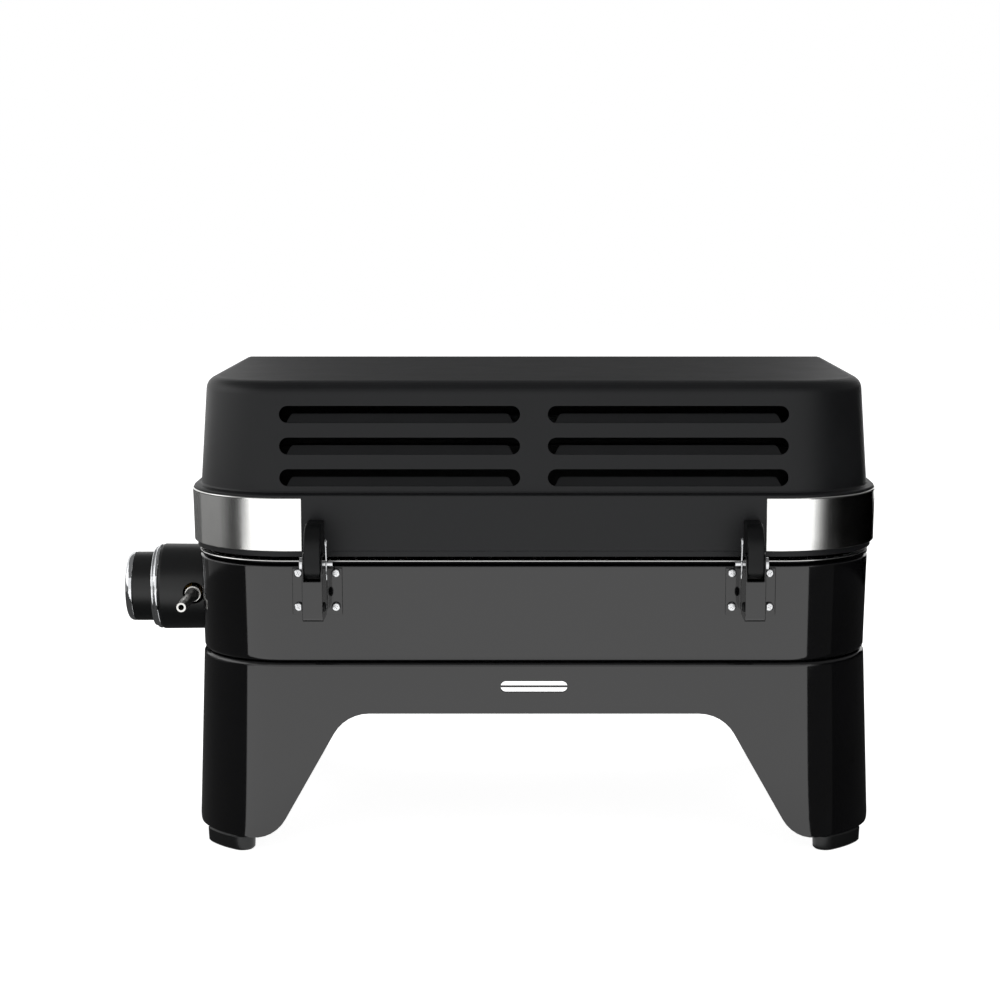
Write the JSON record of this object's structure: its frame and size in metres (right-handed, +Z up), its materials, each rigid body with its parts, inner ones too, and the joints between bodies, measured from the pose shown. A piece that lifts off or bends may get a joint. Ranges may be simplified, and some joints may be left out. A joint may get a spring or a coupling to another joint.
{
  "type": "portable gas barbecue",
  "caption": "Table-top gas barbecue: hinged vented lid with a bright band, enamelled firebox on a flared leg stand, side gas knob and hose tail.",
  "frame": {"origin": "on the ground, in the middle between the four feet", "axes": "+X towards the gas knob, +Y towards the hinges at the back, +Z up; the cook stands on the -Y side"},
  "size_m": [0.6428, 0.4401, 0.3865],
  "materials": {
    "lid_paint": "matte heat-resistant paint",
    "black_enamel": "glossy vitreous enamel",
    "trim_steel": "bright brushed stainless strip",
    "rim_steel": "bare steel edge",
    "chrome_ring": "polished plating",
    "black_plastic": "satin moulded",
    "hinge_paint": "satin powder coat",
    "pin_steel": "bright zinc",
    "zinc_steel": "zinc plated",
    "burner_steel": "heat-dulled stainless",
    "grid_iron": "seasoned casting",
    "tray_aluminium": "pressed sheet",
    "electrode_ceramic": "fired white",
    "valve_brass": "machined",
    "nickel_tail": "nickel plated",
    "foot_rubber": "moulded"
  },
  "bodies": {
    "base": {"leg_stand": "black_enamel", "foot_front_left": "foot_rubber", "foot_front_right": "foot_rubber", "foot_rear_left": "foot_rubber", "foot_rear_right": "foot_rubber", "foot_screws": "zinc_steel", "firebox": "black_enamel", "stand_screws": "zinc_steel", "rim_trim": "rim_steel", "grease_tray": "tray_aluminium", "burner_loop": "burner_steel", "burner_rest": "burner_steel", "tamer_rail_left": "burner_steel", "tamer_rail_right": "burner_steel", "flame_tamer_front": "burner_steel", "flame_tamer_rear": "burner_steel", "grid_left": "grid_iron", "grid_right": "grid_iron", "electrode_sleeve": "electrode_ceramic", "electrode_wire": "zinc_steel", "valve_housing": "black_plastic", "housing_bezel": "chrome_ring", "housing_screws": "zinc_steel", "gas_valve": "valve_brass", "injector": "valve_brass", "hose_tail": "nickel_tail", "return_spring": "zinc_steel", "hinge_bracket_left": "black_enamel", "hinge_bracket_right": "black_enamel", "hinge_pin_left": "pin_steel", "hinge_pin_right": "pin_steel", "hinge_clip_left": "pin_steel", "hinge_clip_right": "pin_steel", "hinge_rivets": "hinge_paint", "hinge_screws": "pin_steel"},
    "lid": {"hinge_arm_left": "hinge_paint", "hinge_arm_right": "hinge_paint", "arm_screws": "zinc_steel", "lid_shell": "lid_paint", "lid_trim_band": "trim_steel", "lid_bumpers": "foot_rubber", "handle_grip": "black_plastic", "handle_post_left": "chrome_ring", "handle_post_right": "chrome_ring", "handle_backing_strip": "zinc_steel", "handle_screws": "zinc_steel"},
    "knob_slide": {"stem_collar": "zinc_steel"},
    "knob": {"valve_stem": "zinc_steel", "control_knob": "black_plastic", "knob_ring": "chrome_ring"}
  },
  "joints": [
    {"name": "lid_hinge", "type": "hinge", "parent": "base", "child": "lid", "pos_m": [0, 0.214, 0.2455], "axis": [-1, 0, 0], "range_deg": [0, 90]},
    {"name": "knob_push", "type": "slide", "parent": "base", "child": "knob_slide", "axis": [-1, 0, 0], "range_m": [0, 0.003], "stiffness_N_per_m": 600, "springref_m": -0.002},
    {"name": "knob_turn", "type": "hinge", "parent": "knob_slide", "child": "knob", "pos_m": [0.33, 0, 0.19], "axis": [1, 0, 0], "range_deg": [0, 210]}
  ]
}
